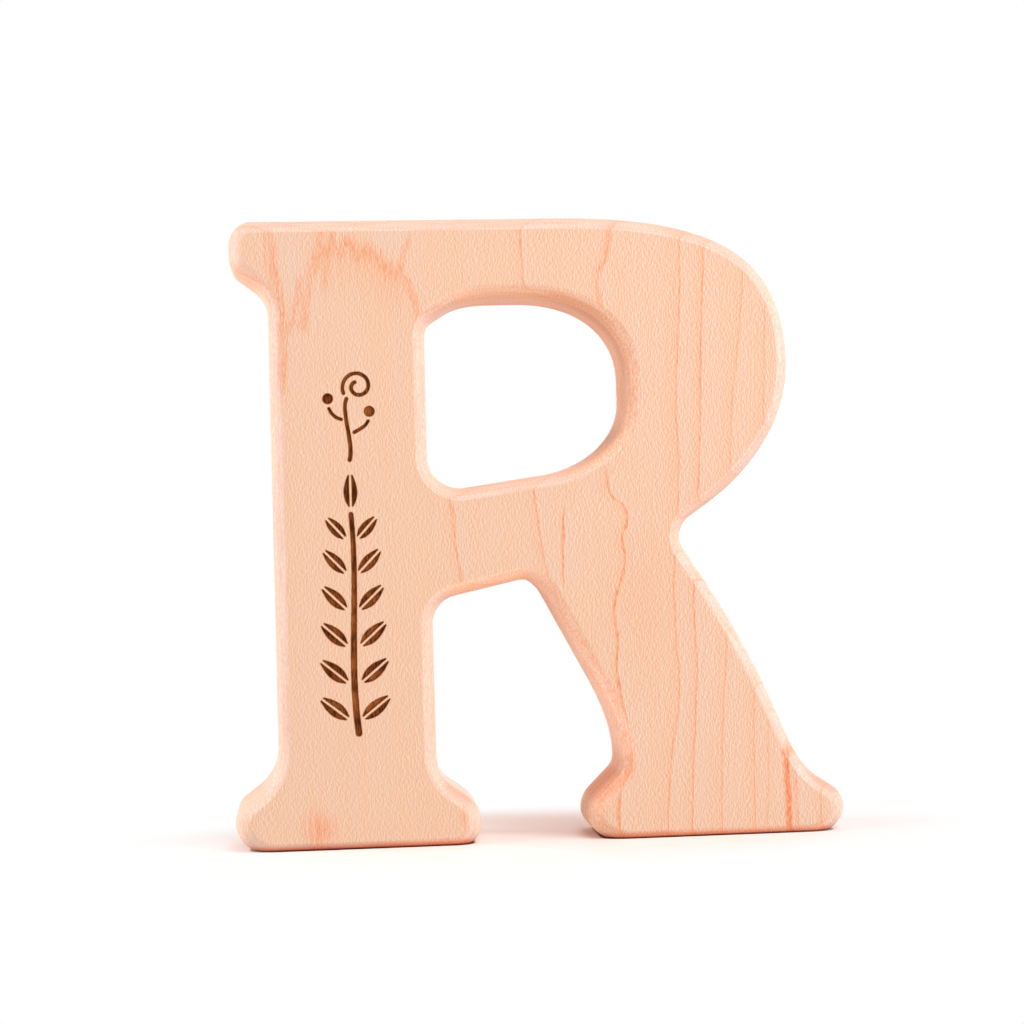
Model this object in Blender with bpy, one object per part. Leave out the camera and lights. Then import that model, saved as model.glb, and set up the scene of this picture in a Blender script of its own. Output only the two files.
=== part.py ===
"""Wooden teether in the shape of a slab-serif capital letter.

One hardwood board, sawn to the letter's outline, with a window through its bowl and
every edge rounded over. It stands on its two feet, whose soles are sanded flat.

X runs along the letter, +Y towards its back and +Z up. The origin is on the floor,
midway along the letter and midway through the board.
"""

from math import ceil, cos, pi, radians, sin, tan

import bmesh
import bpy
from mathutils import Vector
from mathutils.geometry import interpolate_bezier

# Driving dimensions, in millimetres
MM = 0.001
HEIGHT = 114.0
WIDTH = 112.0
THICKNESS = 19.0

# Every edge is rounded from a faint crease where it leaves the face, and sanding the soles takes off
# the last of the round under the feet
EDGE_RADIUS = 3.5
EDGE_START = radians(20)
SOLE_SANDED = 0.9

LEFT = -WIDTH / 2
RIGHT = WIDTH / 2
STEM_LEFT = -48.0
STEM_RIGHT = -19.4
TOE_INNER_LEFT = -11.4
TOE_INNER_RIGHT = 8.4
SERIF_LEFT = -54.8
BOWL_RIGHT = 47.2
BOWL_WIDEST = 86.7
BOWL_START = 4.6
WINDOW_LEFT = -19.7
WINDOW_RIGHT = 17.2
WINDOW_TOP = 99.4

# How finely the round stretches are cut into facets, and where its edges turn sharp
CORNER_STEP = radians(7.5)
EDGE_STEPS = 5
LEAST_FACET = 0.05
SHARP_ANGLE = radians(16)

# Wood colour and finish
MAPLE_COLOUR = (0.86, 0.60, 0.42, 1.0)
MAPLE_ROUGHNESS = 0.55

# Each corner of an outline is x, z, the length of straight edge that its rounding takes up
# before it and after it, and how full the rounding is, where 1 is a circular arc.
OUTLINE = [
    (LEFT, -SOLE_SANDED, 5.7, 7.4, 1.0),            # left foot, outer toe
    (TOE_INNER_LEFT, -SOLE_SANDED, 5.0, 4.5, 1.0),  # left foot, inner toe
    (TOE_INNER_LEFT, 7.0, 2.6, 3.6, 1.0),           # left foot, inner shoulder
    (STEM_RIGHT, 12.6, 3.4, 4.4, 1.0),              # left foot to stem, inner side
    (STEM_RIGHT, 44.4, 4.1, 4.2, 1.0),              # stem to crossbar
    (-0.3, 48.5, 3.5, 4.3, 1.0),                    # crotch between crossbar and leg
    (14.5, 20.5, 8.6, 6.0, 1.0),                    # leg, inner bend
    (14.8, 12.6, 1.8, 1.6, 1.0),                    # leg to right foot, inner side
    (TOE_INNER_RIGHT, 6.3, 2.4, 2.4, 1.0),          # right foot, inner shoulder
    (TOE_INNER_RIGHT, -SOLE_SANDED, 4.8, 7.8, 1.0),  # right foot, inner toe
    (RIGHT, -SOLE_SANDED, 6.7, 5.1, 1.0),           # right foot, outer toe
    (RIGHT, 6.8, 2.2, 2.6, 1.0),                    # right foot, outer shoulder
    (48.1, 12.0, 3.8, 5.4, 1.0),                    # right foot to leg, outer side
    (37.7, 36.4, 13.8, 12.0, 1.0),                  # leg, outer bend
    (24.8, 56.3, 4.3, 4.4, 1.0),                    # waist between leg and bowl
    (BOWL_RIGHT, 71.5, 19.2, BOWL_WIDEST - 71.5, 1.0),  # bowl, lower round
    (BOWL_RIGHT, HEIGHT, HEIGHT - BOWL_WIDEST, BOWL_RIGHT - BOWL_START, 1.3),  # bowl, upper round
    (SERIF_LEFT, HEIGHT, 4.0, 4.4, 1.0),            # top serif, upper corner
    (SERIF_LEFT, 105.6, 1.8, 1.6, 1.0),             # top serif, lower corner
    (STEM_LEFT, 100.5, 3.5, 4.4, 1.0),              # top serif to stem
    (STEM_LEFT, 13.3, 5.2, 4.8, 1.0),               # stem to left foot, outer side
    (LEFT, 7.4, 2.0, 2.0, 1.0),                     # left foot, outer shoulder
]

WINDOW = [
    (WINDOW_LEFT, 64.0, 6.7, 6.8, 1.0),           # lower left
    (WINDOW_RIGHT, 69.1, 15.0, 11.3, 1.0),        # lower right
    (WINDOW_RIGHT, WINDOW_TOP, 15.0, 19.0, 1.1),  # upper right
    (-12.3, WINDOW_TOP, 5.4, 3.0, 1.0),           # top, where it slopes down
    (WINDOW_LEFT, 95.0, 2.9, 2.5, 1.0),           # upper left
]


def rounded_corner(before, corner, after):
    """Points along the rounding of one corner, as a Bezier curve between its two edges."""
    tip = Vector(corner[:2])
    to_before = (Vector(before[:2]) - tip).normalized()
    to_after = (Vector(after[:2]) - tip).normalized()
    turn = pi - to_before.angle(to_after)
    reach = corner[4] * 4 / 3 * tan(turn / 4) / tan(turn / 2)
    start = tip + to_before * corner[2]
    end = tip + to_after * corner[3]
    handle_start = start.lerp(tip, reach)
    handle_end = end.lerp(tip, reach)
    steps = max(3, ceil(turn / CORNER_STEP))
    return interpolate_bezier(start, handle_start, handle_end, end, steps + 1)


def rounded_outline(corners):
    """Closed outline with every corner rounded, as X and Z points running anticlockwise."""
    points = []
    for index, corner in enumerate(corners):
        after = corners[(index + 1) % len(corners)]
        for point in rounded_corner(corners[index - 1], corner, after):
            flat = Vector(point[:2])
            if not points or (flat - points[-1]).length > LEAST_FACET:
                points.append(flat)
    return points


def side_normals(points):
    """Mitred normal at each point, to the right of an outline's direction."""
    normals = []
    for index, point in enumerate(points):
        arriving = (point - points[index - 1]).normalized()
        leaving = (points[(index + 1) % len(points)] - point).normalized()
        right_arriving = Vector((arriving.y, -arriving.x))
        right_leaving = Vector((leaving.y, -leaving.x))
        normals.append((right_arriving + right_leaving) / (1 + right_arriving.dot(right_leaving)))
    return normals


def edge_profile():
    """Inset and depth of each ring across the board's edge, from its front face to its back."""
    half = THICKNESS / 2
    front = []
    for step in range(EDGE_STEPS + 1):
        angle = EDGE_START + (pi / 2 - EDGE_START) * step / EDGE_STEPS
        front.append((EDGE_RADIUS * (1 - sin(angle)), -half + EDGE_RADIUS * (cos(EDGE_START) - cos(angle))))
    back = [(inset, -depth) for inset, depth in reversed(front)]
    return front + back


def add_edge(mesh, points, into_wood):
    """Add the rounded edge that follows an outline, and return its front and back loops of edges."""
    normals = side_normals(points)
    rings = []
    for inset, depth in edge_profile():
        ring = []
        for point, normal in zip(points, normals):
            moved = point + normal * inset * into_wood
            height = max(moved.y, 0.0)
            ring.append(mesh.verts.new((moved.x * MM, depth * MM, height * MM)))
        rings.append(ring)
    count = len(points)
    for near, far in zip(rings, rings[1:]):
        for index in range(count):
            following = (index + 1) % count
            mesh.faces.new((near[index], near[following], far[following], far[index]))
    loops = []
    for ring in (rings[0], rings[-1]):
        loops.append([mesh.edges.get((ring[i], ring[(i + 1) % count])) for i in range(count)])
    return loops


def join_soles(mesh):
    """Make the flat under each foot one face."""
    soles = [face for face in mesh.faces if all(vertex.co.z == 0.0 for vertex in face.verts)]
    bmesh.ops.dissolve_faces(mesh, faces=soles)


def wood_material():
    material = bpy.data.materials.new("maple")
    material.use_nodes = True
    shader = material.node_tree.nodes["Principled BSDF"]
    shader.inputs["Base Color"].default_value = MAPLE_COLOUR
    shader.inputs["Roughness"].default_value = MAPLE_ROUGHNESS
    shader.inputs["Metallic"].default_value = 0.0
    return material


def letter_body():
    mesh = bmesh.new()
    outer_front, outer_back = add_edge(mesh, rounded_outline(OUTLINE), into_wood=-1)
    window_front, window_back = add_edge(mesh, rounded_outline(WINDOW), into_wood=1)
    for outer, window in ((outer_front, window_front), (outer_back, window_back)):
        bmesh.ops.triangle_fill(mesh, edges=outer + window, use_beauty=True)
    join_soles(mesh)
    bmesh.ops.recalc_face_normals(mesh, faces=mesh.faces)
    data = bpy.data.meshes.new("letter_body")
    mesh.to_mesh(data)
    mesh.free()
    data.shade_smooth()
    data.set_sharp_from_angle(angle=SHARP_ANGLE)
    body = bpy.data.objects.new("letter_body", data)
    body.data.materials.append(wood_material())
    bpy.context.scene.collection.objects.link(body)
    return body


for leftover in list(bpy.data.objects):
    bpy.data.objects.remove(leftover)
letter_body()
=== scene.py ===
# Looks of the wooden letter teether: a smoother board with its burnt leaf ornament, maple grain,
# a white floor, soft studio light and the photograph's camera.
from math import ceil, cos, pi, radians, sin, tan

import bmesh
import bpy
from mathutils import Matrix, Vector
from mathutils.geometry import interpolate_bezier


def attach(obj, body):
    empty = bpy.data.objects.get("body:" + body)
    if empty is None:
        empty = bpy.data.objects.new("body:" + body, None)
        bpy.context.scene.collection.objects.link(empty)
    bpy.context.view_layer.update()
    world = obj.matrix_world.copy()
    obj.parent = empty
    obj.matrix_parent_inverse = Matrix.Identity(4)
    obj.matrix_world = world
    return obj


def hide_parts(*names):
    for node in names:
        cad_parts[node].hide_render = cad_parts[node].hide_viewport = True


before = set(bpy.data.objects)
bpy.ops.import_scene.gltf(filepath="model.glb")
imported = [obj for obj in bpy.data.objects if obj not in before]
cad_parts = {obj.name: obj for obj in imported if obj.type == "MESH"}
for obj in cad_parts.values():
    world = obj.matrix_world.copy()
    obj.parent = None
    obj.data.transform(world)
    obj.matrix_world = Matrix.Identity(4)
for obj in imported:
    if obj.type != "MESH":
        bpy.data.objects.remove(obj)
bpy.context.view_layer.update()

# Board, in millimetres, as in the part's source
MM = 0.001
HEIGHT = 114.0
WIDTH = 112.0
THICKNESS = 19.0
FRONT = -THICKNESS / 2

# Every edge is rounded from a faint crease where it leaves the face, and sanding the soles takes off
# the last of the round under the feet
EDGE_RADIUS = 3.5
EDGE_START = radians(20.0)
SOLE_SANDED = 0.9

# The crease is sanded away on the sides of the toes, up to a height where it is whole again
TOE_CREASE = 0.3
TOE_SOFT = 5.0
TOE_WHOLE = 11.0

LEFT = -WIDTH / 2
RIGHT = WIDTH / 2
STEM_LEFT = -48.0
STEM_RIGHT = -19.4
TOE_INNER_LEFT = -11.4
TOE_INNER_RIGHT = 8.4
SERIF_LEFT = -54.8
BOWL_RIGHT = 47.2
BOWL_WIDEST = 86.7
BOWL_START = 4.6
WINDOW_LEFT = -19.7
WINDOW_RIGHT = 17.2
WINDOW_TOP = 99.4

# How finely the round stretches are cut into facets
CORNER_STEP = radians(2.5)
CORNER_LEAST_STEPS = 3
EDGE_STEPS = 15
LEAST_FACET = 0.03

# Each corner of an outline is x, z, the length of straight edge that its rounding takes up
# before it and after it, and how full the rounding is, where 1 is a circular arc.
OUTLINE = [
    (LEFT, -SOLE_SANDED, 5.7, 7.4, 1.0),            # left foot, outer toe
    (TOE_INNER_LEFT, -SOLE_SANDED, 5.0, 4.5, 1.0),  # left foot, inner toe
    (TOE_INNER_LEFT, 7.0, 2.6, 3.6, 1.0),           # left foot, inner shoulder
    (STEM_RIGHT, 12.6, 3.4, 4.4, 1.0),              # left foot to stem, inner side
    (STEM_RIGHT, 44.4, 4.1, 4.2, 1.0),              # stem to crossbar
    (-0.3, 48.5, 3.5, 4.3, 1.0),                    # crotch between crossbar and leg
    (14.5, 20.5, 8.6, 6.0, 1.0),                    # leg, inner bend
    (14.8, 12.6, 1.8, 1.6, 1.0),                    # leg to right foot, inner side
    (TOE_INNER_RIGHT, 6.3, 2.4, 2.4, 1.0),          # right foot, inner shoulder
    (TOE_INNER_RIGHT, -SOLE_SANDED, 4.8, 7.8, 1.0),  # right foot, inner toe
    (RIGHT, -SOLE_SANDED, 6.7, 5.1, 1.0),           # right foot, outer toe
    (RIGHT, 6.8, 2.2, 2.6, 1.0),                    # right foot, outer shoulder
    (48.1, 12.0, 3.8, 5.4, 1.0),                    # right foot to leg, outer side
    (37.7, 36.4, 13.8, 12.0, 1.0),                  # leg, outer bend
    (24.8, 56.3, 4.3, 4.4, 1.0),                    # waist between leg and bowl
    (BOWL_RIGHT, 71.5, 19.2, BOWL_WIDEST - 71.5, 1.0),  # bowl, lower round
    (BOWL_RIGHT, HEIGHT, HEIGHT - BOWL_WIDEST, BOWL_RIGHT - BOWL_START, 1.3),  # bowl, upper round
    (SERIF_LEFT, HEIGHT, 4.0, 4.4, 1.0),            # top serif, upper corner
    (SERIF_LEFT, 105.6, 1.8, 1.6, 1.0),             # top serif, lower corner
    (STEM_LEFT, 100.5, 3.5, 4.4, 1.0),              # top serif to stem
    (STEM_LEFT, 13.3, 5.2, 4.8, 1.0),               # stem to left foot, outer side
    (LEFT, 7.4, 2.0, 2.0, 1.0),                     # left foot, outer shoulder
]

WINDOW = [
    (WINDOW_LEFT, 64.0, 6.7, 6.8, 1.0),           # lower left
    (WINDOW_RIGHT, 69.1, 15.0, 11.3, 1.0),        # lower right
    (WINDOW_RIGHT, WINDOW_TOP, 15.0, 19.0, 1.1),  # upper right
    (-12.3, WINDOW_TOP, 5.4, 3.0, 1.0),           # top, where it slopes down
    (WINDOW_LEFT, 95.0, 2.9, 2.5, 1.0),           # upper left
]

# Burnt ornament on the stem: a leafy sprig under a thin tendril with berries, measured from its foot
SPRIG_X = -33.9
SPRIG_FOOT = 21.0
LEAF_GAP = 0.5
LEAF_CREST = 0.42
LEAF_BASE_ROUND = 0.4
LEAF_TIP_ROUND = 0.55
LEAF_SHARE = 0.72
LEAF_STEP = radians(6.0)
STROKE_STEPS = 28
CAP_STEPS = 6

# Rings of the sunk shapes: inset from the outline and depth, with the first band only scorched
SCORCH_WIDTH = 0.12
RECESS_RINGS = [(-SCORCH_WIDTH, 0.0), (0.0, 0.0), (0.03, 0.1), (0.1, 0.42)]

# Each pair of leaves: height up the sprig, how far out it starts, length, half width, lean in degrees
LEAF_PAIRS = [
    (2.6, 1.25, 6.5, 1.8, 52.0),
    (9.2, 1.25, 6.5, 1.8, 50.0),
    (15.8, 1.2, 6.4, 1.75, 48.0),
    (22.4, 1.15, 6.2, 1.7, 46.0),
    (29.0, 1.15, 5.9, 1.6, 44.0),
    (35.2, 1.1, 5.3, 1.5, 42.0),
]
TOP_LEAF = (40.7, 6.4, 1.7)

# Each thin stroke: start, two handles, end, then its width at the start and at the end
STROKES = [
    ((0.5, 0.0), (-1.1, 13.0), (1.1, 26.0), (0.0, 39.6), 1.15, 0.8),
    ((0.0, 49.4), (0.9, 52.6), (-1.4, 58.0), (-0.3, 60.5), 0.68, 0.58),
    ((0.95, 54.4), (1.9, 55.0), (2.9, 55.2), (3.5, 56.4), 0.58, 0.5),
    ((-1.35, 56.8), (-2.2, 57.0), (-3.1, 57.6), (-3.5, 58.8), 0.58, 0.5),
]
CURL_CENTRE = (1.75, 62.7)
CURL_RADII = (2.85, 0.9)
CURL_ANGLES = (radians(205.0), radians(-235.0))
CURL_WIDTHS = (0.58, 0.62)
BERRIES = [((3.75, 58.15), 0.95), ((-3.7, 60.55), 0.95)]
BERRY_STEPS = 20


def rounded_corner(before, corner, after, corner_step):
    """Points along the rounding of one corner, as a Bezier curve between its two edges."""
    tip = Vector(corner[:2])
    to_before = (Vector(before[:2]) - tip).normalized()
    to_after = (Vector(after[:2]) - tip).normalized()
    turn = pi - to_before.angle(to_after)
    reach = corner[4] * 4 / 3 * tan(turn / 4) / tan(turn / 2)
    start = tip + to_before * corner[2]
    end = tip + to_after * corner[3]
    handle_start = start.lerp(tip, reach)
    handle_end = end.lerp(tip, reach)
    steps = max(CORNER_LEAST_STEPS, ceil(turn / corner_step))
    return interpolate_bezier(start, handle_start, handle_end, end, steps + 1)


def rounded_outline(corners, corner_step=CORNER_STEP):
    """Closed outline with every corner rounded, as X and Z points running anticlockwise."""
    points = []
    for index, corner in enumerate(corners):
        after = corners[(index + 1) % len(corners)]
        for point in rounded_corner(corners[index - 1], corner, after, corner_step):
            flat = Vector(point[:2])
            if not points or (flat - points[-1]).length > LEAST_FACET:
                points.append(flat)
    return points


def side_normals(points):
    """Mitred normal at each point, to the right of an outline's direction."""
    normals = []
    for index, point in enumerate(points):
        arriving = (point - points[index - 1]).normalized()
        leaving = (points[(index + 1) % len(points)] - point).normalized()
        right_arriving = Vector((arriving.y, -arriving.x))
        right_leaving = Vector((leaving.y, -leaving.x))
        normals.append((right_arriving + right_leaving) / (1 + right_arriving.dot(right_leaving)))
    return normals


def edge_start(point, normal):
    """Angle of the crease at one place of an outline, smaller on the sides of the toes."""
    height = min(max((point.y - TOE_SOFT) / (TOE_WHOLE - TOE_SOFT), 0.0), 1.0)
    sideways = abs(normal.normalized().x)
    return EDGE_START * (1 - (1 - TOE_CREASE) * (1 - height) * sideways)


def edge_profile(start):
    """Inset, depth and slope of each ring across the board's edge, from its front face to its back."""
    half = THICKNESS / 2
    front = []
    for step in range(EDGE_STEPS + 1):
        angle = start + (pi / 2 - start) * step / EDGE_STEPS
        inset = EDGE_RADIUS * (1 - sin(angle))
        front.append((inset, -half + EDGE_RADIUS * (cos(start) - cos(angle)), angle))
    back = [(inset, -depth, pi - angle) for inset, depth, angle in reversed(front)]
    return front + back


# Slots of the board's materials
MAPLE = 0
BURNT = 1
SCORCHED = 2


class Board:
    """The board's mesh while it is made, with the exact normal of each point on its rounded edges."""

    def __init__(self):
        self.mesh = bmesh.new()
        self.normals = {}

    def corner(self, point, depth):
        """Add one point at a depth, held up by the floor where it would reach below it."""
        return self.mesh.verts.new((point.x * MM, depth * MM, max(point.y, 0.0) * MM))

    def band(self, near, far, material):
        """Add the faces between two rings of points."""
        count = len(near)
        for index in range(count):
            following = (index + 1) % count
            face = self.mesh.faces.new((near[index], near[following], far[following], far[index]))
            face.material_index = material

    def loop_edges(self, ring):
        return [self.mesh.edges.get((ring[index - 1], ring[index])) for index in range(len(ring))]

    def rounded_edge(self, points, into_wood):
        """Add the rounded edge that follows an outline, and return its front and back loops."""
        sections = []
        for point, normal in zip(points, side_normals(points)):
            section = []
            for inset, depth, angle in edge_profile(edge_start(point, normal)):
                vertex = self.corner(point + normal * inset * into_wood, depth)
                side = normal.normalized() * -into_wood * sin(angle)
                self.normals[vertex] = Vector((side.x, -cos(angle), side.y))
                section.append(vertex)
            sections.append(section)
        rings = list(zip(*sections))
        for near, far in zip(rings, rings[1:]):
            self.band(near, far, MAPLE)
        return self.loop_edges(rings[0]), self.loop_edges(rings[-1])

    def recess(self, points):
        """Sink a shape into the front face, and return the loop where it meets the face."""
        normals = side_normals(points)
        rings = []
        for inset, depth in RECESS_RINGS:
            rings.append([
                self.corner(point - normal * inset, FRONT + depth) for point, normal in zip(points, normals)
            ])
        self.band(rings[0], rings[1], SCORCHED)
        for near, far in zip(rings[1:], rings[2:]):
            self.band(near, far, BURNT)
        self.fill(self.loop_edges(rings[-1]), BURNT)
        return self.loop_edges(rings[0])

    def fill(self, edges, material):
        """Close a flat that is bounded by one or more loops of edges."""
        made = bmesh.ops.triangle_fill(self.mesh, edges=edges, use_beauty=True)
        for item in made["geom"]:
            if isinstance(item, bmesh.types.BMFace):
                item.material_index = material


def anticlockwise(points):
    """The same points, turned about if they run clockwise."""
    area = sum(points[index - 1].cross(points[index]) for index in range(len(points)))
    return points if area > 0 else points[::-1]


def placed(points):
    """Shape of the ornament moved from the sprig's foot to its place on the stem."""
    foot = Vector((SPRIG_X, SPRIG_FOOT))
    return [foot + point for point in anticlockwise(points)]


def half_leaf(base, length, half_width, lean, side):
    """One half of a leaf, beside the midrib that is left bare between the two."""
    along = Vector((sin(lean), cos(lean)))
    across = Vector((-cos(lean), sin(lean))) * side
    crest_along = length * LEAF_CREST
    corners = []
    for far, wide, before, after in (
        (0.0, LEAF_GAP / 2, LEAF_BASE_ROUND, LEAF_BASE_ROUND),
        (length, LEAF_GAP / 2, LEAF_TIP_ROUND, LEAF_TIP_ROUND),
        (crest_along, half_width, (length - crest_along) * LEAF_SHARE, crest_along * LEAF_SHARE),
    ):
        spot = Vector(base) + along * far + across * wide
        corners.append((spot.x, spot.y, before, after, 1.0))
    return rounded_outline(corners, LEAF_STEP)


def stroke(path, start_width, end_width):
    """Outline of a line with round ends whose width runs evenly from its start to its end."""
    count = len(path)
    right = []
    left = []
    for index, point in enumerate(path):
        ahead = path[min(index + 1, count - 1)]
        behind = path[max(index - 1, 0)]
        heading = (ahead - behind).normalized()
        half = (start_width + (end_width - start_width) * index / (count - 1)) / 2
        beside = Vector((heading.y, -heading.x)) * half
        right.append(point + beside)
        left.append(point - beside)
    return right + round_end(path[-1], right[-1]) + left[::-1] + round_end(path[0], left[0])


def round_end(centre, start):
    """Points that turn half a circle anticlockwise about a stroke's end, between its two sides."""
    arm = start - centre
    points = []
    for step in range(1, CAP_STEPS):
        angle = pi * step / CAP_STEPS
        turned = Vector((arm.x * cos(angle) - arm.y * sin(angle), arm.x * sin(angle) + arm.y * cos(angle)))
        points.append(centre + turned)
    return points


def spiral(centre, radii, angles, steps):
    """Points that turn about a centre while their distance from it runs from one radius to the other."""
    points = []
    for step in range(steps + 1):
        share = step / steps
        angle = angles[0] + (angles[1] - angles[0]) * share
        radius = radii[0] + (radii[1] - radii[0]) * share
        points.append(Vector(centre) + Vector((cos(angle), sin(angle))) * radius)
    return points


def ornament_shapes():
    """Outlines of all the shapes that are burnt into the stem."""
    shapes = []
    for height, start, length, half_width, lean in LEAF_PAIRS:
        for way in (-1, 1):
            angle = radians(lean) * way
            base = (start * way, height)
            shapes.append(half_leaf(base, length, half_width, angle, 1))
            shapes.append(half_leaf(base, length, half_width, angle, -1))
    height, length, half_width = TOP_LEAF
    for side in (1, -1):
        shapes.append(half_leaf((0.0, height), length, half_width, 0.0, side))
    for *handles, start_width, end_width in STROKES:
        curve = interpolate_bezier(*[Vector(handle) for handle in handles], STROKE_STEPS)
        shapes.append(stroke([Vector(point[:2]) for point in curve], start_width, end_width))
    curl = spiral(CURL_CENTRE, CURL_RADII, CURL_ANGLES, STROKE_STEPS * 2)
    shapes.append(stroke(curl, *CURL_WIDTHS))
    last_angle = 2 * pi * (1 - 1 / BERRY_STEPS)
    for centre, radius in BERRIES:
        shapes.append(spiral(centre, (radius, radius), (0.0, last_angle), BERRY_STEPS - 1))
    return [placed(shape) for shape in shapes]


def letter_board():
    """The whole board, with its rounded edges, its window and the sunk ornament."""
    board = Board()
    outer_front, outer_back = board.rounded_edge(rounded_outline(OUTLINE), into_wood=-1)
    window_front, window_back = board.rounded_edge(rounded_outline(WINDOW), into_wood=1)
    front_edges = outer_front + window_front
    for shape in ornament_shapes():
        front_edges += board.recess(shape)
    board.fill(front_edges, MAPLE)
    board.fill(outer_back + window_back, MAPLE)
    bmesh.ops.recalc_face_normals(board.mesh, faces=board.mesh.faces)
    board.mesh.verts.index_update()
    edge_normals = {vertex.index: normal for vertex, normal in board.normals.items()}
    data = bpy.data.meshes.new("letter_board")
    board.mesh.to_mesh(data)
    board.mesh.free()
    data.shade_smooth()
    corner_normals = []
    for face in data.polygons:
        on_edge = len(face.vertices) == 4 and all(vertex in edge_normals for vertex in face.vertices)
        rounded = on_edge and face.center.z > 0.0
        for vertex in face.vertices:
            corner_normals.append(edge_normals[vertex] if rounded else face.normal.copy())
    data.normals_split_custom_set(corner_normals)
    piece = bpy.data.objects.new("letter_board", data)
    bpy.context.scene.collection.objects.link(piece)
    return piece


class Graph:
    """Adds shader nodes to one node tree and wires their inputs."""

    def __init__(self, tree):
        self.tree = tree

    def feed(self, socket, value):
        """Wire another node's output to a socket, or set the socket to a plain value."""
        if isinstance(value, bpy.types.NodeSocket):
            self.tree.links.new(value, socket)
        else:
            socket.default_value = value

    def node(self, kind, inputs=None, **settings):
        made = self.tree.nodes.new(kind)
        for name, value in settings.items():
            setattr(made, name, value)
        for name, value in (inputs or {}).items():
            self.feed(made.inputs[name], value)
        return made

    def math(self, operation, *values):
        return self.node("ShaderNodeMath", dict(enumerate(values)), operation=operation).outputs[0]

    def vector(self, operation, *values):
        return self.node("ShaderNodeVectorMath", dict(enumerate(values)), operation=operation).outputs

    def parts(self, vector):
        return self.node("ShaderNodeSeparateXYZ", {0: vector}).outputs

    def place(self):
        """Place on the object, in millimetres, and the normal of its surface."""
        here = self.node("ShaderNodeTexCoord").outputs
        scaled = self.node("ShaderNodeVectorMath", {0: here["Object"], "Scale": 1 / MM}, operation="SCALE")
        return scaled.outputs[0], here["Normal"]

    def product(self, first, *others):
        for other in others:
            first = self.math("MULTIPLY", first, other)
        return first

    def squares(self, first, second):
        """Sum of the squares of two values."""
        return self.math("MULTIPLY_ADD", first, first, self.math("MULTIPLY", second, second))

    def ramp(self, value, low, high, low_result=0.0, high_result=1.0):
        """Value taken from low to high, smoothly and held at both ends."""
        made = self.node("ShaderNodeMapRange", {"Value": value}, interpolation_type="SMOOTHSTEP")
        limits = {"From Min": low, "From Max": high, "To Min": low_result, "To Max": high_result}
        for name, limit in limits.items():
            self.feed(made.inputs[name], limit)
        return made.outputs["Result"]

    def fall(self, value, low, high):
        """1 up to low and 0 from high on, smoothly between them."""
        return self.ramp(value, low, high, 1.0, 0.0)

    def noise(self, point, turns, detail, roughness, offset=0.0):
        """Noise from about 0 to 1, with its own number of turns per millimetre along each axis."""
        inputs = {"Vector": point, "Scale": turns, "Location": (offset, 0.0, 0.0)}
        mapped = self.node("ShaderNodeMapping", inputs).outputs[0]
        inputs = {"Vector": mapped, "Scale": 1.0, "Detail": detail, "Roughness": roughness}
        return self.node("ShaderNodeTexNoise", inputs).outputs["Fac"]

    def swing(self, point, noise):
        """Noise about 0, from about -1 to 1."""
        return self.math("MULTIPLY_ADD", self.noise(point, *noise), 2.0, -1.0)

    def between(self, share, low, high):
        """Value from low to high, as the share goes from 0 to 1."""
        return self.math("MULTIPLY_ADD", share, high - low, low)

    def curve(self, value, points):
        """Smooth curve through points, all from 0 to 1."""
        made = self.node("ShaderNodeFloatCurve", {"Value": value})
        line = made.mapping.curves[0]
        while len(line.points) < len(points):
            line.points.new(0.5, 0.5)
        for point, place in zip(line.points, sorted(points)):
            point.location = place
        made.mapping.update()
        return made.outputs[0]

    def mix(self, factor, first, second, blend="MIX"):
        made = self.node("ShaderNodeMix", data_type="RGBA", blend_type=blend)
        for name, value in (("Factor_Float", factor), ("A_Color", first), ("B_Color", second)):
            self.feed(next(socket for socket in made.inputs if socket.identifier == name), value)
        return next(socket for socket in made.outputs if socket.identifier == "Result_Color")

    def tinted(self, colour, tone, share=1.0):
        """Colour multiplied by a tone, as far as the share goes."""
        return self.mix(share, colour, tone, "MULTIPLY")


# Maple, with colours as linear light
MAPLE_COLOUR = (0.85, 0.53, 0.367, 1.0)
MAPLE_EARLY = (0.82, 0.56, 0.43, 1.0)
MAPLE_LATE = (0.85, 0.45, 0.275, 1.0)
MAPLE_LINE = (0.85, 0.27, 0.12, 1.0)
EARLY_SHARE = 0.6
LATE_SHARE = 0.6
END_GRAIN = (0.98, 0.92, 0.87, 1.0)
MAPLE_ROUGHNESS = 0.55
ROUGHNESS_SPREAD = 0.06
MAPLE_GLOSS = 0.1

# Noises in the wood: turns per millimetre along each axis, detail and roughness
FRINGE_NOISE = ((2.6, 2.6, 0.2), 2.0, 0.6)      # fibres that stray beside a ring
WAVER_NOISE = ((0.2, 0.2, 0.25), 2.0, 0.5)      # slow bends of the rings
WANDER_NOISE = ((0.06, 0.06, 0.016), 3.0, 0.6)  # long bends of the rings behind the face
GAP_NOISE = ((0.6, 0.6, 0.35), 2.0, 0.6)        # faint stretches of a ring's line
BEAD_NOISE = ((2.2, 2.2, 0.9), 1.0, 0.5)        # beads of a ring's line
STREAK_NOISE = ((0.45, 0.45, 0.015), 3.0, 0.55)  # long pale streaks
FIGURE_NOISE = ((0.4, 0.4, 0.15), 1.0, 0.5)     # patches of stronger fibres
SANDING_NOISE = ((0.12, 4.5, 0.12), 1.0, 0.5)   # sanding streaks that run along the rounded edges
SAW_NOISE = ((0.03, 0.4, 0.03), 2.0, 0.6)       # saw lines that follow the inner walls

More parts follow.
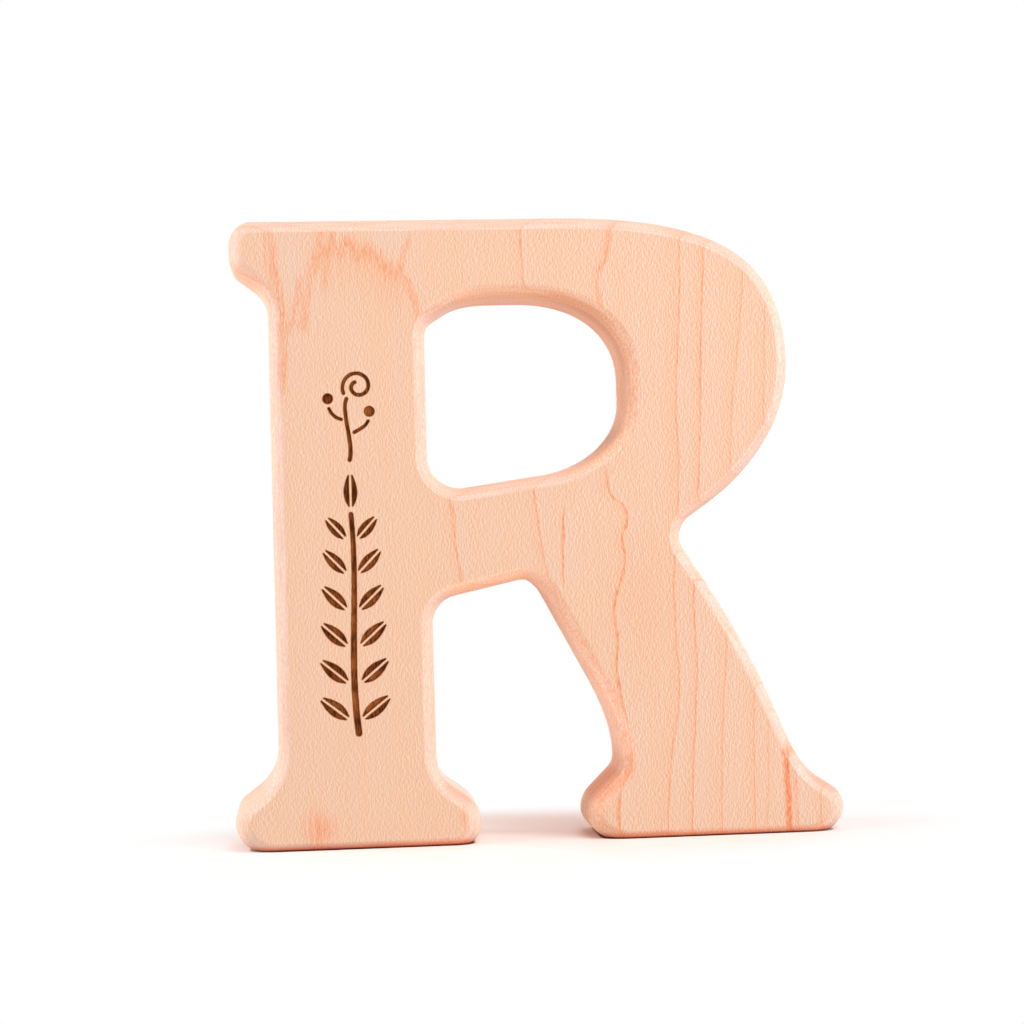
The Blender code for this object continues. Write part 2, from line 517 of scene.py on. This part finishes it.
# What these noises come to: two levels of the noise and, unless it is 0 and 1, the strength at each
GAP_STRENGTH = (0.3, 0.6, 0.6, 1.0)
BEAD_STRENGTH = (0.35, 0.65, 0.55, 1.3)
STREAK_STRENGTH = (0.35, 0.7, 0.0, 0.35)
FIGURE_STRENGTH = (0.3, 0.7, 0.75, 1.3)
SANDING_STRENGTH = (0.3, 0.7)
SAW_STRENGTH = (0.55, 0.65)

# Fine fibres: turns per millimetre, place in the noise, and the tones of their dark and pale dashes
FIBRES = [
    ((4.2, 4.2, 1.2), 0.0, (0.985, 0.845, 0.77, 1.0), (1.01, 1.15, 1.22, 1.0)),
    ((4.5, 4.5, 1.05), 57.0, (0.955, 0.97, 0.99, 1.0), (1.045, 1.03, 1.01, 1.0)),
    ((3.8, 3.8, 0.9), 113.0, (1.0, 0.985, 0.90, 1.0), (1.0, 1.015, 1.10, 1.0)),
]
FIBRE_DETAIL = 1.0
FIBRE_ROUGHNESS = 0.7
FIBRE_APART = 0.23
FIBRE_SPAN = 0.25
FIBRE_BUMP = 0.12
FIBRE_HEIGHT = 0.00006

# How strong the fibres are from the stem to the leg, and on the edges, and the ring lines on the edges
FIBRE_GROWTH = (-10.0, 20.0, 1.0, 1.3)
EDGE_FIBRE = 0.6
WARM_FIBRE = 1.2
EDGE_LINE = 0.5

# Which way a surface faces: the spans of its normal's parts over which it counts as each kind
FLAT_FACING = (0.9, 0.99)
END_GRAIN_FACING = (0.35, 0.9)
OFF_SOLE_FACING = (-0.98, -0.85)
WARM_FACING = (0.1, 0.45)
RIGHT_FACING = (0.1, 0.5)
DOWN_FACING = (-0.5, -0.1)
SLOPE_FACING = (0.35, 0.7)

# Tones of the rounded edges: paled by painted highlight outside, warmed as painted shade where they face
# left or down inside the letter
EDGE_PAINTED_HIGHLIGHT = (1.0, 1.05, 1.19, 1.0)
EDGE_PAINTED_SHADE = (1.17, 1.09, 1.07, 1.0)
WARM_FROM = -44.0
SANDED_DARK = (0.97, 0.94, 0.92, 1.0)
SANDED_PALE = (1.03, 1.06, 1.08, 1.0)
SAW_DARK = (0.95, 0.86, 0.80, 1.0)

# Painted light and shade at single places on the edges, and a darker tone on the feet's slopes: the tone,
# which way the edge faces there, and the spans along the axes over which the tone comes in and goes out
PLACE_TONES = [
    # painted warm shade under the top serif
    ((1.14, 1.05, 0.97, 1.0), "down", [("z", 94.0, 98.0)], [("x", WARM_FROM, STEM_RIGHT)]),
    # painted light on the walls between the stem and the leg
    ((1.17, 1.30, 1.44, 1.0), "warm", [("z", 12.0, 18.0)], [("z", 22.0, 46.0)]),
    # painted light under the crossbar
    ((1.08, 1.10, 1.11, 1.0), "warm", [("z", 40.0, 45.0)], [("x", -1.0, 4.0), ("z", 52.0, 56.0)]),
    # painted shade on the upper right wall of the window
    (
        (0.84, 0.72, 0.68, 1.0), "warm",
        [("x", -2.0, 12.0), ("y", -8.0, -5.5), ("z", 76.0, 94.0)], [("y", -4.5, 1.0)],
    ),
    # painted shade on the lower right wall of the window
    (
        (0.77, 0.76, 0.75, 1.0), "warm",
        [("x", -1.0, 5.0), ("y", -9.0, -6.5), ("z", 58.0, 64.0)], [("y", 4.0, 9.0), ("z", 73.0, 78.0)],
    ),
    # slopes of the feet
    (
        (0.96, 0.82, 0.80, 1.0), "slope",
        [("x", STEM_LEFT, STEM_RIGHT), ("z", 2.0, 6.0)], [("z", 14.0, 18.0)],
    ),
]

# Painted shade: an orange-brown rim just above the soles, and a painted contact shadow as a dark line at
# its foot
RIM_PAINTED_SHADE = (0.9, 0.36, 0.22, 1.0)
RIM_ON_RIGHT = 0.8
RIM_HEIGHT = 1.6
SOLE_PAINTED_SHADOW = (0.1, 0.07, 0.1, 1.0)
SOLE_LINE_HEIGHT = 0.5

# The tree's heart runs upright behind the board, so the rings are arcs about it
HEART_X = -31.5
HEART_Y = 62.0
HEART_DEPTH = HEART_Y - FRONT

# Each ring that meets the front face: strength, line width, tint width and how far its fringe of
# fibres strays, then its height and x along its way
RING_FADE = 2.5
RING_WAVER = 0.25
EARLY_WIDTH = 5.0
RINGS = [
    (0.50, 1.8, 2.6, 2.2, [
        (114.0, -47.9), (111.9, -47.1), (105.0, -46.5), (100.0, -45.9), (96.2, -45.5),
        (92.9, -45.0), (84.0, -45.4),
    ]),
    (0.40, 2.0, 2.6, 1.6, [(111.0, -37.9), (106.7, -39.0), (102.4, -40.1), (97.7, -41.0), (95.0, -41.4)]),
    (0.36, 1.4, 2.0, 1.2, [(102.4, -41.9), (98.5, -42.8), (96.1, -43.4), (93.0, -44.5)]),
    (0.36, 1.3, 1.6, 1.2, [(111.7, -35.8), (107.0, -36.6), (102.4, -37.3)]),
    (0.40, 1.2, 1.6, 1.0, [(109.4, -22.4), (106.5, -23.4), (104.2, -24.4)]),
    (0.42, 1.6, 2.4, 1.2, [(104.2, -24.2), (103.0, -22.9), (101.0, -22.1), (98.5, -21.1), (95.4, -20.5)]),
    (0.52, 0.7, 2.4, 0.7, [(64.9, -17.2), (61.2, -15.5), (56.1, -15.3), (51.7, -14.6), (46.0, -13.6)]),
    (0.58, 0.4, 3.0, 0.15, [
        (114.0, -1.9), (108.9, -1.8), (101.3, -1.6), (63.8, -0.5), (58.6, 0.1), (53.5, 0.7), (46.0, 2.4),
    ]),
    (0.95, 0.45, 0.8, 0.15, [(59.2, 4.8), (54.9, 4.6), (51.2, 4.5), (48.3, 4.5)]),
    (0.55, 1.0, 2.6, 0.9, [(114.0, 14.4), (106.5, 13.8), (102.9, 12.2), (99.2, 12.4)]),
    (0.75, 0.6, 2.6, 0.4, [
        (66.4, 13.0), (62.7, 13.8), (60.8, 16.0), (58.2, 16.5), (55.3, 15.5), (50.9, 15.9), (42.2, 13.7),
        (35.6, 14.3), (32.0, 13.9), (18.0, 15.8), (14.1, 15.8), (9.0, 14.1), (0.0, 13.9),
    ]),
    (0.5, 0.5, 0.5, 0.25, [(90.0, 16.9), (84.0, 17.2), (79.0, 16.9)]),
    (0.52, 0.4, 3.5, 0.12, [
        (114.0, 27.3), (101.9, 27.2), (92.4, 26.7), (81.4, 26.1), (62.4, 26.0), (52.9, 25.2), (43.4, 24.8),
        (36.0, 25.0), (28.7, 25.4), (21.4, 24.8), (15.6, 23.7), (8.3, 23.0), (0.0, 22.5),
    ]),
    (0.65, 0.4, 2.5, 0.12, [
        (114.0, 32.0), (98.2, 31.3), (87.2, 30.7), (76.2, 30.4), (65.2, 29.8), (46.9, 28.6), (39.6, 28.4),
        (32.3, 28.7), (24.9, 28.4), (15.4, 27.8), (8.1, 27.3), (0.0, 27.2),
    ]),
    (0.42, 0.4, 3.0, 0.15, [
        (102.5, 38.9), (94.4, 38.2), (87.1, 37.4), (81.2, 36.5), (75.4, 36.1), (68.8, 35.8), (37.2, 34.3),
        (32.1, 34.2), (24.8, 33.5), (17.4, 33.1), (0.0, 32.7),
    ]),
    (0.41, 0.4, 2.5, 0.12, [(96.0, 43.0), (84.8, 42.5), (72.0, 42.1), (20.0, 39.1), (0.0, 38.8)]),
    (0.29, 0.35, 1.5, 0.12, [(24.0, 41.8), (14.9, 41.6), (0.0, 41.1)]),
    (1.25, 1.25, 1.4, 0.15, [(22.0, 44.8), (15.2, 45.0), (8.9, 45.2), (0.0, 45.4)]),
    (0.35, 1.1, 1.4, 0.2, [(18.0, 46.3), (8.9, 46.6), (0.0, 46.9)]),
    (0.46, 0.4, 1.5, 0.12, [(12.0, 51.2), (6.5, 51.2), (0.0, 51.3)]),
]

# Crown of the innermost ring that meets the front face, as x and height
CROWN = [
    (-38.4, 110.0), (-37.3, 107.5), (-36.2, 110.6), (-34.8, 108.2), (-33.4, 110.2), (-32.3, 107.9),
    (-30.3, 108.2), (-27.6, 106.6), (-26.2, 104.9), (-24.4, 104.2), (-23.4, 106.0),
]
CROWN_STRENGTH = 0.45

# Its line and the ragged top of its fibres, the late wood below it, and how it ends sideways and in depth
CROWN_BAND = 2.8
CROWN_FRINGE = 4.6
CROWN_LATE = 12.0
CROWN_OUTSIDE = 1.0
CROWN_WITHIN = 0.5
CROWN_SKIN = (0.1, 0.7)

# Rings behind the front face: depth from the arc that touches it, and strength
INNER_RINGS = [(2.4, 0.4), (5.6, 0.55), (9.4, 0.4), (12.4, 0.6), (16.2, 0.5), (18.4, 0.55)]
INNER_LINE = 0.3
INNER_TINT = 1.4
INNER_WANDER = 6.0
INNER_FRINGE = 0.1

# Patches of fibres: place, reach along each axis, and how much line, late wood and early wood they hold
PATCHES = [
    ((-41.0, FRONT, 3.6), (4.0, 4.0, 5.0), 0.55, 0.0, 0.0),
    ((-14.7, FRONT, 5.2), (1.1, 1.5, 3.0), 0.4, 0.0, 0.0),
    ((19.0, FRONT, 44.0), (12.0, 20.0, 22.0), 0.0, 0.6, 0.0),
    ((-43.2, FRONT, 104.5), (3.6, 2.0, 9.0), 0.0, 0.0, 1.4),
    ((-25.5, FRONT, 110.5), (6.5, 2.0, 4.0), 0.0, 0.0, 1.6),
]
PATCH_FRINGE = 0.9


class Wood:
    """Places in the board, in millimetres, and the masks and noises that the maple's colour follows."""

    def __init__(self, graph):
        self.graph = graph
        self.point, normal = graph.place()
        x, y, self.z = graph.parts(self.point)
        self.axes = {"x": x, "y": y, "z": self.z}
        self.follow_rings()
        self.find_edges(*graph.parts(normal))
        self.lay_fibres()

    def follow_rings(self):
        """Follow the ring at each place to where it meets the front face, or find how deep it stays."""
        graph = self.graph
        from_heart = graph.math("SUBTRACT", self.axes["x"], HEART_X)
        to_heart = graph.math("SUBTRACT", self.axes["y"], HEART_Y)
        square = graph.squares(from_heart, to_heart)
        self.inside = graph.math("SUBTRACT", HEART_DEPTH, graph.math("SQRT", square))
        beyond = graph.math("MAXIMUM", graph.math("SUBTRACT", square, HEART_DEPTH ** 2), 0.0)
        reach = graph.product(graph.math("SQRT", beyond), graph.math("SIGN", from_heart))
        self.on_face = graph.math("ADD", reach, HEART_X)
        self.fringe = graph.swing(self.point, FRINGE_NOISE)
        self.waver = graph.swing(self.point, WAVER_NOISE)
        bends = graph.noise(self.point, *WANDER_NOISE)
        self.wandering = graph.math("MULTIPLY_ADD", bends, INNER_WANDER, self.inside)

    def find_edges(self, sideways, facing, upward):
        """Tell the flat faces, the end grain and the edges that face some way apart."""
        graph = self.graph
        self.flat = graph.ramp(graph.math("ABSOLUTE", facing), *FLAT_FACING)
        self.end_grain = graph.ramp(graph.math("ABSOLUTE", upward), *END_GRAIN_FACING)
        self.off_sole = graph.ramp(upward, *OFF_SOLE_FACING)
        leftward = graph.math("MINIMUM", sideways, 0.0)
        downward = graph.math("MINIMUM", upward, 0.0)
        # Inner edges that face left or down, which the edge tone warms as painted shade
        self.warm = graph.product(
            graph.ramp(graph.math("SQRT", graph.squares(leftward, downward)), *WARM_FACING),
            graph.fall(sideways, *RIGHT_FACING),
            graph.ramp(self.axes["x"], WARM_FROM, STEM_RIGHT),
        )
        self.facings = {
            "warm": self.warm,
            "down": graph.fall(downward, *DOWN_FACING),
            "slope": graph.ramp(upward, *SLOPE_FACING),
        }

    def lay_fibres(self):
        """Break up the ring lines, and lay dashes of fibre whose strength changes from place to place."""
        graph = self.graph
        gaps = graph.ramp(graph.noise(self.point, *GAP_NOISE), *GAP_STRENGTH)
        beads = graph.ramp(graph.noise(self.point, *BEAD_NOISE), *BEAD_STRENGTH)
        self.broken = graph.product(gaps, beads, graph.between(self.flat, EDGE_LINE, 1.0))
        on_edge = graph.between(self.warm, EDGE_FIBRE, WARM_FIBRE)
        strength = graph.product(
            graph.math("MULTIPLY_ADD", self.flat, graph.math("SUBTRACT", 1.0, on_edge), on_edge),
            graph.ramp(self.on_face, *FIBRE_GROWTH),
            graph.ramp(graph.noise(self.point, *FIGURE_NOISE), *FIGURE_STRENGTH),
        )
        self.fibres = []
        for turns, offset, _, _ in FIBRES:
            self.fibres.append(graph.product(self.dashes(turns, offset), strength))

    def dashes(self, turns, offset):
        """Thin even dashes about 0, as the difference between one noise read at two places."""
        shift = turns[0] * FIBRE_APART / 2
        ahead = self.graph.noise(self.point, turns, FIBRE_DETAIL, FIBRE_ROUGHNESS, offset + shift)
        behind = self.graph.noise(self.point, turns, FIBRE_DETAIL, FIBRE_ROUGHNESS, offset - shift)
        return self.graph.math("SUBTRACT", ahead, behind)


def ring_marks(graph, wood, strength, line_width, late_width, stray, way):
    """Line of one ring that meets the front face, the late wood before it and the early wood after it."""
    points = [(height / HEIGHT, (across - LEFT) / WIDTH) for height, across in way]
    traced = graph.curve(graph.math("DIVIDE", wood.z, HEIGHT), points)
    across = graph.math("MULTIPLY_ADD", traced, WIDTH, LEFT)
    wavered = graph.math("MULTIPLY_ADD", wood.waver, RING_WAVER, wood.on_face)
    strayed = graph.math("MULTIPLY_ADD", wood.fringe, stray, wavered)
    past = graph.math("SUBTRACT", strayed, across)
    low = min(height for height, _ in way)
    high = max(height for height, _ in way)
    shown = graph.product(
        graph.ramp(wood.z, low - RING_FADE, low),
        graph.ramp(wood.z, high, high + RING_FADE, strength, 0.0),
    )
    before = graph.product(graph.fall(past, 0.0, line_width / 2), shown)
    line = graph.product(graph.ramp(past, -line_width, 0.0), before)
    late = graph.product(graph.ramp(past, -late_width, 0.0), before)
    after = graph.product(graph.ramp(past, 0.0, line_width), graph.fall(past, line_width, EARLY_WIDTH))
    return line, late, graph.product(after, shown)


def crown_marks(graph, wood):
    """Line of the crown, feathered upwards by its fibres, and the late wood below it."""
    points = [((across - LEFT) / WIDTH, height / HEIGHT) for across, height in CROWN]
    share = graph.math("DIVIDE", graph.math("SUBTRACT", wood.on_face, LEFT), WIDTH)
    height = graph.math("MULTIPLY", graph.curve(share, points), HEIGHT)
    above = graph.math("SUBTRACT", graph.math("MULTIPLY_ADD", wood.fringe, CROWN_FRINGE, wood.z), height)
    left = CROWN[0][0]
    right = CROWN[-1][0]
    shown = graph.product(
        graph.ramp(wood.on_face, left - CROWN_OUTSIDE, left + CROWN_WITHIN),
        graph.fall(wood.on_face, right - CROWN_WITHIN, right + CROWN_OUTSIDE),
        graph.fall(wood.inside, *CROWN_SKIN),
    )
    below = graph.product(graph.fall(above, 0.0, CROWN_BAND), shown)
    line = graph.product(graph.ramp(above, -CROWN_BAND, 0.0, 0.0, CROWN_STRENGTH), below)
    late = graph.product(graph.ramp(above, -CROWN_LATE, 0.0), below)
    return line, late, 0.0


def inner_marks(graph, wood, depth, strength):
    """Line of one ring behind the front face, and the late wood before it."""
    strayed = graph.math("MULTIPLY_ADD", wood.fringe, -INNER_FRINGE, depth + INNER_WANDER / 2)
    past = graph.math("SUBTRACT", strayed, wood.wandering)
    before = graph.ramp(past, 0.0, INNER_LINE / 2, strength, 0.0)
    line = graph.product(graph.ramp(past, -INNER_LINE, 0.0), before)
    late = graph.product(graph.ramp(past, -INNER_TINT, 0.0), before)
    return line, late, 0.0


def patch_marks(graph, wood, place, reach, line_share, late_share, early_share):
    """Line, late wood and early wood of one patch of fibres."""
    shrunk = graph.vector("DIVIDE", graph.vector("SUBTRACT", wood.point, place)[0], reach)[0]
    distance = graph.vector("LENGTH", shrunk)["Value"]
    patch = graph.fall(graph.math("MULTIPLY_ADD", wood.fringe, -PATCH_FRINGE, distance), 0.0, 1.0)
    return [graph.product(patch, share) for share in (line_share, late_share, early_share)]


def strongest(graph, marks):
    """Line, late wood and early wood at each place, each as the strongest of all marks there."""
    found = list(marks[0])
    for mark in marks[1:]:
        found = [graph.math("MAXIMUM", old, new) for old, new in zip(found, mark)]
    return found


def ring_colour(graph, wood):
    """Colour of the wood with its rings and patches, before its fibres."""
    rings = [crown_marks(graph, wood)]
    rings += [ring_marks(graph, wood, *ring) for ring in RINGS]
    rings += [inner_marks(graph, wood, *ring) for ring in INNER_RINGS]
    line, late, early = strongest(graph, rings)
    marks = [(graph.product(line, wood.broken), late, early)]
    marks += [patch_marks(graph, wood, *patch) for patch in PATCHES]
    line, late, early = strongest(graph, marks)
    streaks = graph.ramp(graph.noise(wood.point, *STREAK_NOISE), *STREAK_STRENGTH)
    colour = graph.mix(streaks, MAPLE_COLOUR, MAPLE_EARLY)
    colour = graph.mix(graph.product(early, EARLY_SHARE), colour, MAPLE_EARLY)
    colour = graph.mix(graph.product(late, LATE_SHARE), colour, MAPLE_LATE)
    return graph.mix(line, colour, MAPLE_LINE)


def edge_tone(graph, wood):
    """Tone by which the rounded edges differ from the faces, with painted light and shade in it."""
    streaks = graph.ramp(graph.noise(wood.point, *SANDING_NOISE), *SANDING_STRENGTH)
    tone = graph.mix(streaks, SANDED_DARK, SANDED_PALE)
    # Painted highlight pales the outer edges, and painted shade warms the inner edges that face left or
    # down
    tone = graph.tinted(tone, graph.mix(wood.warm, EDGE_PAINTED_HIGHLIGHT, EDGE_PAINTED_SHADE))
    saw_lines = graph.ramp(graph.noise(wood.point, *SAW_NOISE), *SAW_STRENGTH)
    tone = graph.tinted(tone, SAW_DARK, graph.product(saw_lines, wood.warm))
    for place_tone, facing, comes_in, goes_out in PLACE_TONES:
        share = wood.facings[facing]
        for axis, start, end in comes_in:
            share = graph.product(share, graph.ramp(wood.axes[axis], start, end))
        for axis, start, end in goes_out:
            share = graph.product(share, graph.fall(wood.axes[axis], start, end))
        tone = graph.tinted(tone, place_tone, share)
    return tone


def maple(graph, shader):
    """Solid maple: rings as arcs about the heart, fine fibre dashes along the grain, satin finish."""
    wood = Wood(graph)
    colour = ring_colour(graph, wood)
    for pattern, (_, _, dark, pale) in zip(wood.fibres, FIBRES):
        tone = graph.mix(graph.ramp(pattern, -FIBRE_SPAN, FIBRE_SPAN), dark, pale)
        colour = graph.tinted(colour, tone)
    colour = graph.mix(wood.flat, graph.tinted(colour, edge_tone(graph, wood)), colour)
    colour = graph.tinted(colour, END_GRAIN, wood.end_grain)
    # Painted shade on the lowest round of the feet, then a painted contact shadow along the soles' edge
    side = graph.ramp(wood.on_face, TOE_INNER_LEFT, TOE_INNER_RIGHT, 1.0, RIM_ON_RIGHT)
    rim = graph.product(graph.fall(wood.z, 0.0, RIM_HEIGHT), side, wood.off_sole)
    colour = graph.tinted(colour, RIM_PAINTED_SHADE, rim)
    sole_shadow = graph.product(graph.fall(wood.z, 0.0, SOLE_LINE_HEIGHT), wood.off_sole)
    colour = graph.tinted(colour, SOLE_PAINTED_SHADOW, sole_shadow)
    fibre = wood.fibres[0]
    roughest = MAPLE_ROUGHNESS + ROUGHNESS_SPREAD
    smoothest = MAPLE_ROUGHNESS - ROUGHNESS_SPREAD
    bump = graph.node("ShaderNodeBump", {"Strength": FIBRE_BUMP, "Distance": FIBRE_HEIGHT, "Height": fibre})
    graph.feed(shader.inputs["Base Color"], colour)
    graph.feed(shader.inputs["Roughness"], graph.ramp(fibre, -FIBRE_SPAN, FIBRE_SPAN, roughest, smoothest))
    graph.feed(shader.inputs["Specular IOR Level"], MAPLE_GLOSS)
    graph.feed(shader.inputs["Normal"], bump.outputs[0])


# Burnt wood of the ornament, with fine lines along the grain on its floor and dark walls
BURNT_PALE = (0.46, 0.125, 0.026, 1.0)
BURNT_DARK = (0.10, 0.017, 0.002, 1.0)
BURNT_ROUGHNESS = 0.8
BURNT_GLOSS = 0.15
BURNT_LINES = ((4.2, 4.2, 0.5), 1.0, 0.5)
BURNT_PATCHES = ((0.5, 0.5, 0.35), 2.0, 0.5)
BURNT_STRENGTH = (0.72, 1.28)
BURNT_FLOOR_FACING = (0.6, 0.95)
BURNT_BUMP = 0.5
BURNT_HEIGHT = 0.0001

# Scorched rim about the burnt shapes
SCORCH_PALE = (0.72, 0.33, 0.16, 1.0)
SCORCH_DARK = (0.45, 0.15, 0.05, 1.0)
SCORCH_PATCHES = ((1.6, 1.6, 0.8), 2.0, 0.5)
SCORCH_STRENGTH = (0.3, 0.7)


def burnt(graph, shader):
    """Wood browned by heat, with fine dark lines along the grain and dark walls."""
    point, normal = graph.place()
    _, facing, _ = graph.parts(normal)
    floor = graph.ramp(graph.math("ABSOLUTE", facing), *BURNT_FLOOR_FACING)
    lines = graph.noise(point, *BURNT_LINES)
    patches = graph.noise(point, *BURNT_PATCHES)
    share = graph.product(floor, graph.ramp(graph.math("ADD", lines, patches), *BURNT_STRENGTH))
    bump = graph.node("ShaderNodeBump", {"Strength": BURNT_BUMP, "Distance": BURNT_HEIGHT, "Height": lines})
    graph.feed(shader.inputs["Base Color"], graph.mix(share, BURNT_DARK, BURNT_PALE))
    graph.feed(shader.inputs["Roughness"], BURNT_ROUGHNESS)
    graph.feed(shader.inputs["Specular IOR Level"], BURNT_GLOSS)
    graph.feed(shader.inputs["Normal"], bump.outputs[0])


def scorched(graph, shader):
    """Wood tinted brown in a thin rim about the burnt shapes."""
    point, _ = graph.place()
    share = graph.ramp(graph.noise(point, *SCORCH_PATCHES), *SCORCH_STRENGTH)
    graph.feed(shader.inputs["Base Color"], graph.mix(share, SCORCH_DARK, SCORCH_PALE))
    graph.feed(shader.inputs["Roughness"], MAPLE_ROUGHNESS)


def new_material(name, make):
    material = bpy.data.materials.new(name)
    material.use_nodes = True
    make(Graph(material.node_tree), material.node_tree.nodes["Principled BSDF"])
    return material


# Floor, in metres, whose white spreads inwards to a ring about the letter and leaves its shadow
FLOOR_HALF = 3.0
FLOOR_BOUNCE = (0.65, 0.65, 0.65, 1.0)
FLOOR_SEEN = (0.80, 0.80, 0.80, 1.0)
# Painted warm glow, seen only from the eye, that lifts and warms the floor's shadow near the letter
FLOOR_FILL = (0.19, 0.07, 0.045, 1.0)
WHITE_RING = (0.085, 0.042)
WHITE_SPAN = (0.5, 1.0)
WHITE = (1.0, 1.0, 1.0, 1.0)

# Painted contact shadow: a dark line on the floor where the soles meet it
CONTACT_DARK = (0.08, 0.06, 0.07, 1.0)
CONTACT_REACH = 0.0007
CONTACT_SAMPLES = 8
CONTACT_SPAN = (0.3, 0.85)


def seen_rays(graph):
    """1 for rays from the eye, a reflection or a see-through surface, 0 for rays that carry light."""
    rays = graph.node("ShaderNodeLightPath").outputs
    mirrored = graph.math("MAXIMUM", rays["Is Glossy Ray"], rays["Is Transmission Ray"])
    return graph.math("MAXIMUM", rays["Is Camera Ray"], mirrored)


def white_floor():
    bpy.ops.mesh.primitive_plane_add(size=2 * FLOOR_HALF, location=(0.0, 0.0, 0.0))
    floor = bpy.context.object
    floor.name = "floor"
    material = bpy.data.materials.new("white_floor")
    material.use_nodes = True
    material.node_tree.nodes.clear()
    graph = Graph(material.node_tree)
    seen = seen_rays(graph)
    x, y, _ = graph.parts(graph.node("ShaderNodeNewGeometry").outputs["Position"])
    across = graph.math("DIVIDE", x, WHITE_RING[0])
    along = graph.math("DIVIDE", y, WHITE_RING[1])
    far = graph.ramp(graph.math("SQRT", graph.squares(across, along)), *WHITE_SPAN)
    # Painted contact shadow on the floor, from how closely the soles hang over it
    reach = {"Distance": CONTACT_REACH}
    open_sky = graph.node("ShaderNodeAmbientOcclusion", reach, samples=CONTACT_SAMPLES).outputs["AO"]
    clear = graph.ramp(open_sky, *CONTACT_SPAN)
    shade = graph.mix(clear, CONTACT_DARK, FLOOR_SEEN)
    matt = graph.node("ShaderNodeBsdfDiffuse", {"Color": graph.mix(seen, FLOOR_BOUNCE, shade)})
    # Painted warm glow on the floor as seen from the eye, kept off the contact shadow
    fill = graph.node("ShaderNodeEmission", {"Color": FLOOR_FILL, "Strength": graph.product(seen, clear)})
    near = graph.node("ShaderNodeAddShader", {0: matt.outputs[0], 1: fill.outputs[0]})
    white = graph.node("ShaderNodeEmission", {"Color": WHITE, "Strength": 1.0})
    inputs = {0: graph.product(far, seen), 1: near.outputs[0], 2: white.outputs[0]}
    graph.node("ShaderNodeOutputMaterial", {0: graph.node("ShaderNodeMixShader", inputs).outputs[0]})
    floor.data.materials.append(material)


# Light that the white surroundings give, where 1 would be as white as they look
WORLD_LEVEL = 0.01


def white_world():
    world = bpy.data.worlds.new("white_studio")
    bpy.context.scene.world = world
    world.use_nodes = True
    world.node_tree.nodes.clear()
    graph = Graph(world.node_tree)
    level = graph.between(seen_rays(graph), WORLD_LEVEL, 1.0)
    background = graph.node("ShaderNodeBackground", {"Color": WHITE, "Strength": level})
    graph.node("ShaderNodeOutputWorld", {0: background.outputs[0]})


# Each lamp: name, degrees round from the front to the right, degrees up, width in metres and watts
LAMPS = [
    ("left_softbox", -100, 10, 0.35, 2.4),
    ("left_front_softbox", -70, 10, 0.35, 1.8),
    ("left_high_softbox", -90, 28, 0.4, 4.0),
    ("front_softbox", 0, 18, 0.5, 1.0),
    ("top_front_softbox", 35, 62, 0.5, 4.0),
    ("top_back_softbox", 180, 62, 0.6, 1.5),
    ("right_softbox", 56, 10, 0.75, 8.0),
    ("right_side_softbox", 95, 10, 0.35, 0.8),
    ("back_softbox", 160, 6, 0.6, 3.8),
]
LAMP_TARGET = Vector((0.0, 0.0, 0.05))
LAMP_DISTANCE = 0.9


def softboxes():
    for name, azimuth, elevation, width, watts in LAMPS:
        lamp = bpy.data.lights.new(name, "AREA")
        lamp.shape = "SQUARE"
        lamp.size = width
        lamp.energy = watts
        level = cos(radians(elevation))
        toward_lamp = Vector((
            sin(radians(azimuth)) * level,
            -cos(radians(azimuth)) * level,
            sin(radians(elevation)),
        ))
        holder = bpy.data.objects.new(name, lamp)
        holder.location = LAMP_TARGET + toward_lamp * LAMP_DISTANCE
        holder.rotation_euler = toward_lamp.to_track_quat("Z", "Y").to_euler()
        bpy.context.scene.collection.objects.link(holder)


# Camera, with its lens and sensor and its place in millimetres and its turns in radians
LENS = 77.34
SENSOR_WIDTH = 36.0
CAMERA_PLACE = (-41.25, -407.96, 60.73)
CAMERA_YAW = -0.0915206
CAMERA_PITCH = 0.0010798
CAMERA_ROLL = -0.0245928
CLIP_START = 10.0


def photo_camera():
    data = bpy.data.cameras.new("photo_camera")
    data.sensor_width = SENSOR_WIDTH
    data.lens = LENS
    data.clip_start = CLIP_START * MM
    camera = bpy.data.objects.new("photo_camera", data)
    bpy.context.scene.collection.objects.link(camera)
    level_right = Vector((cos(CAMERA_YAW), sin(CAMERA_YAW), 0.0))
    level_forward = Vector((-sin(CAMERA_YAW), cos(CAMERA_YAW), 0.0))
    plumb = Vector((0.0, 0.0, -1.0))
    pitched_down = plumb * cos(CAMERA_PITCH) - level_forward * sin(CAMERA_PITCH)
    forward = plumb * sin(CAMERA_PITCH) + level_forward * cos(CAMERA_PITCH)
    right = level_right * cos(CAMERA_ROLL) - pitched_down * sin(CAMERA_ROLL)
    down = level_right * sin(CAMERA_ROLL) + pitched_down * cos(CAMERA_ROLL)
    turn = Matrix((right, -down, -forward)).transposed().to_4x4()
    camera.matrix_world = Matrix.Translation(Vector(CAMERA_PLACE) * MM) @ turn
    bpy.context.scene.camera = camera


piece = letter_board()
piece.data.materials.append(new_material("maple", maple))
piece.data.materials.append(new_material("burnt_maple", burnt))
piece.data.materials.append(new_material("scorched_maple", scorched))
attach(piece, "root")
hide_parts("letter_body")

white_floor()
white_world()
softboxes()
photo_camera()
bpy.context.scene.view_settings.view_transform = "Standard"
